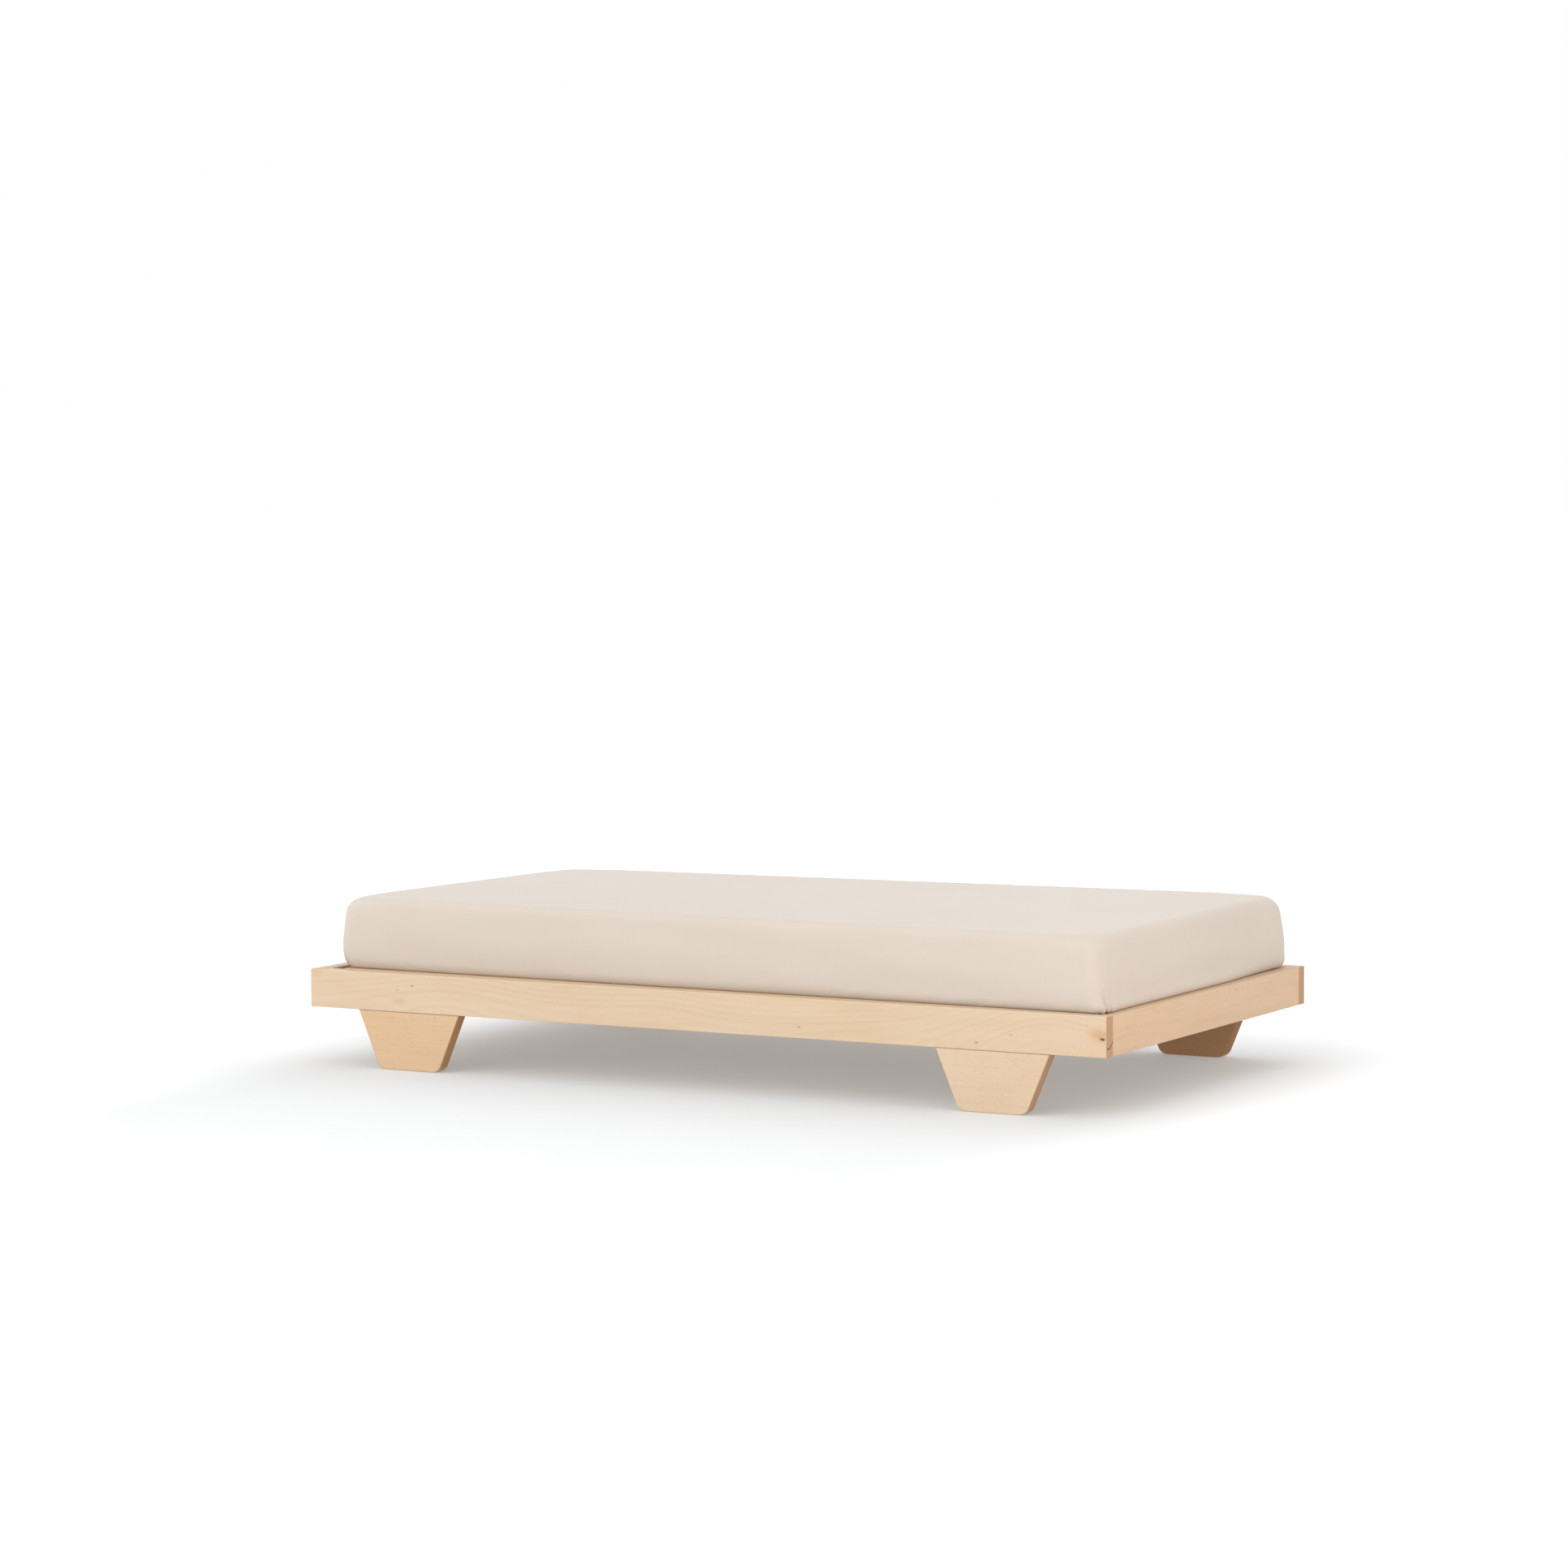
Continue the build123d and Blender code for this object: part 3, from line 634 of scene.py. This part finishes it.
panel = np.sin((cover_points[:, 2] - base) / HEIGHT * math.pi * 3) * 0.6 * MM
panel *= (cover_row > TOP_SEAM) * (cover_row < FOOT_SEAM)
co = co + n * (puff + panel)[:, None]
co[:, 2] = np.maximum(co[:, 2], base + 3.0 * MM)
move_to(cover, co)


def ticking(name):
    """Cotton ticking: twill with a stitched diamond over the wadding."""
    t = Tree(name)
    u, v = t.cloth_map()
    x, y, _ = t.split(t.place.outputs["Object"])
    twill = t.math("SINE", t.math("MULTIPLY", t.math("ADD", u, v), 2 * math.pi / (1.1 * MM)))
    cross = t.math("SINE", t.math("MULTIPLY", t.math("SUBTRACT", u, v), 2 * math.pi / (0.5 * MM)))
    slub = t.noise(t.join(t.math("MULTIPLY", u, 90.0), t.math("MULTIPLY", v, 1300.0), 0.0), 1.0, 2.0)
    cloud = t.noise(t.place.outputs["Object"], 9.0, 3.0)

    def stitched(a):
        share = t.math("PINGPONG", t.math("DIVIDE", a, DIAMOND), 0.5)
        return t.math("MULTIPLY", share, DIAMOND / math.sqrt(2))

    px, py = t.math("SUBTRACT", x, CENTRE.x), t.math("SUBTRACT", y, CENTRE.y)
    near = t.math("MINIMUM", stitched(t.math("ADD", px, py)), stitched(t.math("SUBTRACT", px, py)))
    dashes = t.span(t.math("SINE", t.math("MULTIPLY", px, 2 * math.pi / (4.2 * MM))), -0.3, 0.1)
    thread = t.math("MULTIPLY", t.span(near, 0.3 * MM, 0.9 * MM, 1.0, 0.0), dashes)
    colour = (0.70, 0.675, 0.62, 1.0)
    tone = t.mix(t.span(cloud, 0.3, 0.75, 0.0, 0.6), colour, tinted(colour, 0.93))
    tone = t.mix(t.span(twill, -0.6, 0.9, 0.16, 0.0), tone, tinted(colour, 0.75))
    tone = t.mix(t.span(slub, 0.45, 0.7, 0.0, 0.3), tone, tinted(colour, 0.85))
    # painted shade: the cloth is darker within 5 mm of the stitch lines, in the hollows where the wadding is drawn down
    tone = t.mix(t.span(near, 0.0, 5 * MM, 0.30, 0.0), tone, tinted(colour, 0.70))
    tone = t.mix(thread, tone, (0.80, 0.78, 0.74, 1.0))
    cloth = t.math("ADD", twill, t.math("MULTIPLY", cross, 0.5))
    height = t.math("ADD", t.math("MULTIPLY", cloth, 0.4), t.math("MULTIPLY", thread, 1.4))
    t.set(Base_Color=tone, Roughness=t.span(slub, 0.3, 0.7, 0.80, 0.92), Specular_IOR_Level=0.2,
          Sheen_Weight=0.2, Sheen_Roughness=0.5, Normal=t.bump(height, 0.14 * MM, 0.6))
    return t.material


paint(cover, ticking("cotton_ticking"))
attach(cover, "mattress")
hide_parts("mattress_cover")

# ---- the fitted sheet: cloth drawn over the mattress and held by its hem underneath
sheet_points, sheet_faces, sheet_uv, sheet_row, sheet_share = skin()
sheet = mesh_object("fitted_sheet_cloth", sheet_points, sheet_faces, sheet_uv)
LAST = int(sheet_row.max())
FOOT = sum(SHEET_ROWS[:3])  # the row where the cloth reaches the slats
corner, off = from_corner(sheet_share)
above = sheet_points[:, 2] - base


def gradient(share):
    """0 over most of the top, rising to 1 at its rim."""
    return smoothstep(np.abs(share).max(1), 0.90, 1.0)


def side_wave(co):
    """How far the cloth stands off its even shape, along its normal."""
    side = (sheet_row > 2) & (sheet_row < FOOT)
    x, y = co[:, 0] - CENTRE.x, co[:, 1] - CENTRE.y
    z = np.clip(above / HEIGHT, 0, 1)
    on_front = side & (sheet_share[:, 1] < -ON_SIDE)
    on_end = side & (np.abs(sheet_share[:, 0]) > ON_SIDE)
    fade = smoothstep(z, 0.02, 0.25) * (1 - smoothstep(z, 0.72, 0.98)) * smoothstep(np.abs(off), 0.02, 0.14)
    run = np.where(on_end, y + 3.0, x)
    d = waves(run, above, 2.0, 0.42, 0.085) * 0.7 * MM * fade * side
    d += on_front * fade * 0.5 * MM * np.sin(run * 7.0 + above * 60)
    # slight softness of the top
    top = sheet_row <= 2
    d += top * waves(x, y, 5.0, 0.55, 0.30) * 0.5 * MM * (1 - gradient(sheet_share))
    return d


# the gathers at each corner, in mm: (place along the edge, width, depth)
GATHERS = (
    ((-16, 7, 1.3), (-4, 4.5, -1.9), (8, 6, 1.5), (19, 6, -0.8)),
    ((-20, 8, 0.9), (-7, 6, -1.0), (4, 4.0, 1.6), (11, 2.8, -4.8), (17.5, 3.6, 2.0), (24, 2.8, -2.6), (31, 6, 1.2)),
    ((-18, 8, 1.2), (-5, 5, -1.7), (7, 6, 1.4)),
    ((-20, 7, 1.1), (-8, 5, -1.6), (3, 5, 1.8), (12, 4.5, -2.2), (22, 7, 1.1)),
)


def corner_pleats(co):
    """The gathers where the cloth turns under at each corner, and the seam down the corner."""
    d = np.zeros(len(co))
    low = 1 - smoothstep(above, 6 * MM, 46 * MM)
    low *= smoothstep(np.where(sheet_row >= FOOT, FOOT + 3.0 - sheet_row, 3.0), 0.0, 3.0)
    for c, marks in enumerate(GATHERS):
        here = (corner == c) & (sheet_row > 6)
        for at, wide, deep in marks:
            lean = 1 + 0.35 * np.clip(above / HEIGHT, 0, 1)
            d += here * low * deep * MM * np.exp(-(((off / MM - at * lean) / wide) ** 2))
    seam = (np.abs(off) < 1e-6) & (sheet_row > 0)
    d += seam * 0.55 * MM
    return d


held = {i: 1.0 for i in np.nonzero(sheet_row >= FOOT + 2)[0]}
held.update({i: 0.25 for i in np.nonzero((sheet_row >= FOOT - 1) & (sheet_row < FOOT + 2))[0]})
simulate(sheet, held, gravity=1.0, slack=0.006, cap=2.4 * MM, against=(cover,), tension=20, bending=0.8, mass=0.15)
soften(sheet, only=sheet_row < FOOT)
co, n = places_of(sheet), normals_of(sheet)
co = co + n * (side_wave(co) + corner_pleats(co))[:, None]
# under the mattress the cloth gathers towards its elastic hem
under = np.clip((sheet_row - FOOT) / (LAST - FOOT), 0, 1)
ruffle = np.sin(off / (9.5 * MM) + 1.7 * corner + 2.0 * np.sin(off / 0.05)) * 0.5 + 0.5
hem = base + (0.35 + 2.0 * ruffle * under**1.5) * MM
co[:, 2] = np.where(sheet_row >= FOOT, hem, np.maximum(co[:, 2], base + 0.35 * MM))
inward = np.sin(off / 0.021 + corner) * 2.2 * MM * under**2
on_end = np.abs(sheet_share[:, 0]) > ON_SIDE
co[:, 0] += np.where(on_end, np.sign(sheet_share[:, 0]) * inward, 0)
co[:, 1] += np.where(on_end, 0, np.sign(sheet_share[:, 1]) * inward)
move_to(sheet, co)
thick = sheet.modifiers.new("thickness", "SOLIDIFY")
thick.thickness, thick.offset = 0.45 * MM, -1.0
SAND = (0.594, 0.522, 0.455, 1.0)
paint(sheet, cotton("sheet_cotton", SAND))
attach(sheet, "mattress")
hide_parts("fitted_sheet")

# ---- the elastic in the hem: a ribbed band, drawn in
rim = np.nonzero(sheet_row == LAST)[0]
path = co[rim].copy()
count = len(path)
forward = np.roll(path, -1, 0) - np.roll(path, 1, 0)
inner = np.stack([-forward[:, 1], forward[:, 0]], 1)
inner /= np.linalg.norm(inner, axis=1, keepdims=True)
# the band's section in mm: inward, and up
band = [(-1.2, 0.5), (-0.6, 0.0), (1.0, -0.1), (3.0, 0.15), (5.0, -0.1), (7.2, 0.0),
        (7.8, 0.5), (7.2, 1.05), (5.0, 0.95), (3.0, 1.2), (1.0, 0.95), (-0.6, 1.0)]
elastic_points, elastic_uv = [], []
length = lengths_along(path)
for j, (across, rise) in enumerate(band):
    rib = 0.12 * np.sin(length / MM * 1.9) * (1 if rise > 0.6 else -1 if rise < 0.2 else 0)
    z = np.clip(path[:, 2] - base, 0.3 * MM, 1.5 * MM) + base + (rise + rib - 0.1) * MM
    plan = path[:, :2] + inner * across * MM
    elastic_points.append(np.column_stack([plan, np.maximum(z, base + 0.12 * MM)]))
    elastic_uv.append(np.stack([length, np.full(count, j * 1.4 * MM)], 1))
elastic_faces = []
for j in range(len(band)):
    this, following = j * count, (j + 1) % len(band) * count
    for c in range(count):
        turned = (c + 1) % count
        elastic_faces.append((this + c, following + c, following + turned, this + turned))
elastic = mesh_object("sheet_elastic_band", np.concatenate(elastic_points), elastic_faces, np.concatenate(elastic_uv))
t = Tree("elastic_webbing")
u, v = t.cloth_map()
ribs = t.math("SINE", t.math("MULTIPLY", v, 2 * math.pi / (0.9 * MM)))
picks = t.math("SINE", t.math("MULTIPLY", u, 2 * math.pi / (0.7 * MM)))
fuzz = t.noise(t.place.outputs["Object"], 1500.0, 2.0)
tone = t.mix(t.span(ribs, -0.5, 0.8, 0.5, 0.0), (0.74, 0.70, 0.63, 1.0), (0.52, 0.48, 0.42, 1.0))
tone = t.mix(t.span(fuzz, 0.4, 0.7, 0.0, 0.3), tone, (0.60, 0.56, 0.50, 1.0))
t.set(Base_Color=tone, Roughness=t.span(fuzz, 0.3, 0.7, 0.6, 0.85), Sheen_Weight=0.15,
      Normal=t.bump(t.math("ADD", ribs, t.math("MULTIPLY", picks, 0.5)), 0.15 * MM, 0.7))
paint(elastic, t.material)
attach(elastic, "mattress")
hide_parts("sheet_elastic")


def place(node):
    a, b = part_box(node)
    return (a + b) / 2, a, b


def dress(node, material):
    obj = nodes[node]
    if not obj.material_slots:
        obj.data.materials.append(material)
    for s in obj.material_slots:
        s.material = material


# marks on the front rail: its outer face is at y = face and its top at z = top
_, a, b = place("side_rail_front")
face, top = a.y, b.z
GREY_SMUDGE, ORANGE, BROWN = (0.36, 0.27, 0.185, 1.0), (0.58, 0.33, 0.14, 1.0), (0.52, 0.27, 0.115, 1.0)
dress("side_rail_front", beech(
    "beech_side_front", 0, (face + 0.062, a.z - 0.020), BEECH,
    seed=0.7, pitch=7.6 * MM, wander=13 * MM, rings=0.115,
    hills=((-0.47, 0.17, 0.030), (-0.06, 0.12, 0.014), (0.64, 0.16, 0.060)),
    knots=((-0.532, face, 0.1430, 1.3 * MM, 0.62), (-0.561, face, 0.1345, 1.0 * MM, 0.45),
           (0.199, face, 0.1160, 1.2 * MM, 0.65), (0.513, face, 0.1096, 1.4 * MM, 0.65),
           (0.573, face, 0.1246, 1.0 * MM, 0.5), (0.7285, face, 0.1268, 2.7 * MM, 0.9),
           (-0.663, face + 0.013, top, 1.6 * MM, 0.6), (-0.20, face + 0.015, top, 1.3 * MM, 0.5)),
    stains=((-0.558, face, 0.1157, 7 * MM, 0.30, GREY_SMUDGE), (-0.722, face, 0.158, 8 * MM, 0.45, ORANGE),
            (0.724, face, 0.133, 11 * MM, 0.62, BROWN)),
    arc=((-0.3942, 0.1315), 0.020, (-0.3870, 0.1169), 0.0135)))
_, a, b = place("side_rail_rear")
dress("side_rail_rear", beech(
    "beech_side_rear", 0, (b.y - 0.058, a.z - 0.028), BEECH, seed=2.7, pitch=4.6 * MM, wander=8 * MM,
    hills=((0.30, 0.15, 0.022), (-0.35, 0.22, 0.026)),
    knots=((0.21, b.y, 0.121, 1.4 * MM, 0.6), (-0.44, b.y, 0.143, 1.1 * MM, 0.5))))
for i, end in enumerate(("left", "right")):
    mid, a, b = place(f"end_rail_{end}")
    outer, speck = (b.x, 0.106) if end == "right" else (a.x, 0.106 - 0.33)
    dress(f"end_rail_{end}", beech(
        f"beech_end_{end}", 1, (mid.x + 0.09, mid.z - 0.03), BEECH_END, seed=11.0 + 4 * i,
        rings=0.07, pitch=5.2 * MM, flecks=0.36, knots=((outer, speck, 0.1518, 1.2 * MM, 0.6),)))
for i, (leg, colour) in enumerate(LEG_TONES_AND_SHADE.items()):
    mid, _, b = place(leg)
    dress(leg, beech(f"beech_{leg}", 0, (mid.y + 0.07 * (-1) ** i, mid.z - 0.05), colour, seed=21.0 + 3 * i,
                     rings=0.07, pitch=4.6 * MM, flecks=0.62, joint_shadow_height=b.z))
for i, name in enumerate(("ledger_front", "ledger_rear", "slat_frame_front", "slat_frame_rear")):
    mid, _, _ = place(name)
    dress(name, beech(f"beech_{name}", 0, (mid.y + 0.05, mid.z + 0.03), BEECH_RAW_AND_SHADE, seed=35.0 + 2.3 * i))
for i, name in enumerate(n for n in sorted(nodes) if n.startswith("corner_block_") and "screw" not in n):
    mid, _, _ = place(name)
    dress(name, beech(f"beech_{name}", 2, (mid.x + 0.04, mid.y + 0.05), BEECH_RAW_AND_SHADE, seed=45.0 + 2.3 * i))
for i in range(1, 14):
    name = f"slat_{i:02d}"
    mid, _, _ = place(name)
    pith = (mid.x + 0.05 * (-1) ** i, mid.z + 0.05 + 0.01 * (i % 4))
    dress(name, beech(f"beech_{name}", 1, pith, BEECH_RAW_AND_SHADE, seed=60.0 + 1.9 * i, rings=0.2))
dress("corner_dowels", beech("beech_corner_dowels", 1, (0.0, 0.05), BEECH_RAW_AND_SHADE, seed=91.0))
dress("leg_dowels", beech("beech_leg_dowels", 2, (0.03, 0.05), BEECH_RAW_AND_SHADE, seed=93.0))
bright = steel("steel_zinc", (0.62, 0.63, 0.64, 1.0), 0.30)
yellow = steel("steel_yellow_zinc", (0.66, 0.54, 0.30, 1.0), 0.32)
for name in ("leg_bolts", "leg_barrel_nuts"):
    dress(name, bright)
for name in ("ledger_screws", "corner_block_screws", "slat_screws"):
    dress(name, yellow)

# ------------------------------------------------------------------- studio
FAR = 60  # out to where the floor ends
floor = mesh_object("floor", [(-FAR, -FAR, 0), (FAR, -FAR, 0), (FAR, FAR, 0), (-FAR, FAR, 0)], [(0, 1, 2, 3)],
                    smooth=False)
t = Tree("floor_paper")
x, y, _ = t.split(t.place.outputs["Object"])
away = t.vector("LENGTH", t.join(t.math("MAXIMUM", t.math("SUBTRACT", t.math("ABSOLUTE", x), CAD_BOX[1][0]), 0.0),
                                 t.math("MAXIMUM", t.math("SUBTRACT", t.math("ABSOLUTE", y), CAD_BOX[1][1]), 0.0), 0.0))
paper = t.mix(t.noise(t.place.outputs["Object"], 3.0, 2.0), (0.640, 0.637, 0.633, 1.0), (0.652, 0.649, 0.645, 1.0))
# the paper is painted a little darker in line with the bed, most in front of it, and glows less near it: a soft halo of
# painted shade, much weaker beside the bed's ends
front = t.span(y, -0.5, -0.2, 1.0, 0.0)
ahead = t.math("MULTIPLY_ADD", t.math("MULTIPLY", t.span(away, 0.10, 0.95, 1.0, 0.0), front), 0.11, 0.135)
beside = t.span(t.math("ABSOLUTE", x), CAD_BOX[1][0] - 0.1, CAD_BOX[1][0] + 0.2, 1.0, 0.15)
paper = t.mix(t.math("MULTIPLY", ahead, beside), paper, (0.0, 0.0, 0.0, 1.0))
# the floor's glow is painted light: it lifts the shadow under the bed, and is weaker near the bed and in front of it,
# which paints shade there
painted_light_glow = t.math("MULTIPLY", t.span(away, -0.05, 0.42), t.math("MULTIPLY_ADD", front, -0.45, 1.0))
t.set(Base_Color=paper, Roughness=0.9, Specular_IOR_Level=0.05, Emission_Color=(0.97, 0.99, 1.0, 1.0),
      Emission_Strength=t.math("MULTIPLY_ADD", painted_light_glow, 0.15, 0.245))
paint(floor, t.material)

world = bpy.data.worlds.new("studio")
bpy.context.scene.world = world
world.use_nodes = True
sky = world.node_tree.nodes["Background"]
sky.inputs[0].default_value = (1.0, 1.0, 1.0, 1.0)
sky.inputs[1].default_value = 1.0


def broad(name, source, strength, colour, angle):
    """A broad, even light from a direction."""
    light = bpy.data.lights.new(name, "SUN")
    light.energy, light.color, light.angle = strength, colour, math.radians(angle)
    obj = bpy.data.objects.new(name, light)
    bpy.context.scene.collection.objects.link(obj)
    obj.rotation_euler = Vector(source).to_track_quat("Z", "Y").to_euler()
    obj.location = Vector(source).normalized() * 5


broad("overhead", (-0.15, -0.1, 1.0), 0.34, (0.50, 0.72, 0.92), 70)
broad("front", (-0.33, -0.85, 0.36), 1.19, (1.0, 1.0, 1.0), 60)
broad("side", (0.92, -0.30, 0.22), 0.36, (1.0, 0.74, 0.52), 60)
lamp = bpy.data.lights.new("near_side", "AREA")
lamp.shape, lamp.size, lamp.energy, lamp.color = "DISK", 0.7, 1.0, (1.0, 0.83, 0.69)
near = bpy.data.objects.new("near_side", lamp)
bpy.context.scene.collection.objects.link(near)
near.location = (1.45, -0.50, 0.50)
near.rotation_euler = (near.location - Vector((0.72, -0.28, 0.17))).to_track_quat("Z", "Y").to_euler()

# ------------------------------------------------------------------- camera
yaw, pitch, roll = math.radians(28.546), math.radians(4.096), math.radians(-0.159)
# the view is fitted to the photo's straight edges, and its place is from the front rail's left end
corner = (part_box("side_rail_front")[0].x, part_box("side_rail_front")[0].y)
ahead = Vector((-math.sin(yaw) * math.cos(pitch), math.cos(yaw) * math.cos(pitch), -math.sin(pitch)))
right = Vector((math.cos(yaw), math.sin(yaw), 0))
up = right.cross(ahead)
right, up = right * math.cos(roll) + up * math.sin(roll), up * math.cos(roll) - right * math.sin(roll)
camera = bpy.data.objects.new("camera", bpy.data.cameras.new("camera"))
bpy.context.scene.collection.objects.link(camera)
camera.data.sensor_width, camera.data.lens = 36, 106.33
camera.data.clip_end = 100
turn = Matrix((right, up, -ahead)).transposed().to_4x4()
camera.matrix_world = Matrix.Translation((corner[0] + 4.409, corner[1] - 6.435, 1.027)) @ turn
bpy.context.scene.camera = camera
bpy.context.scene.view_settings.view_transform = "Standard"
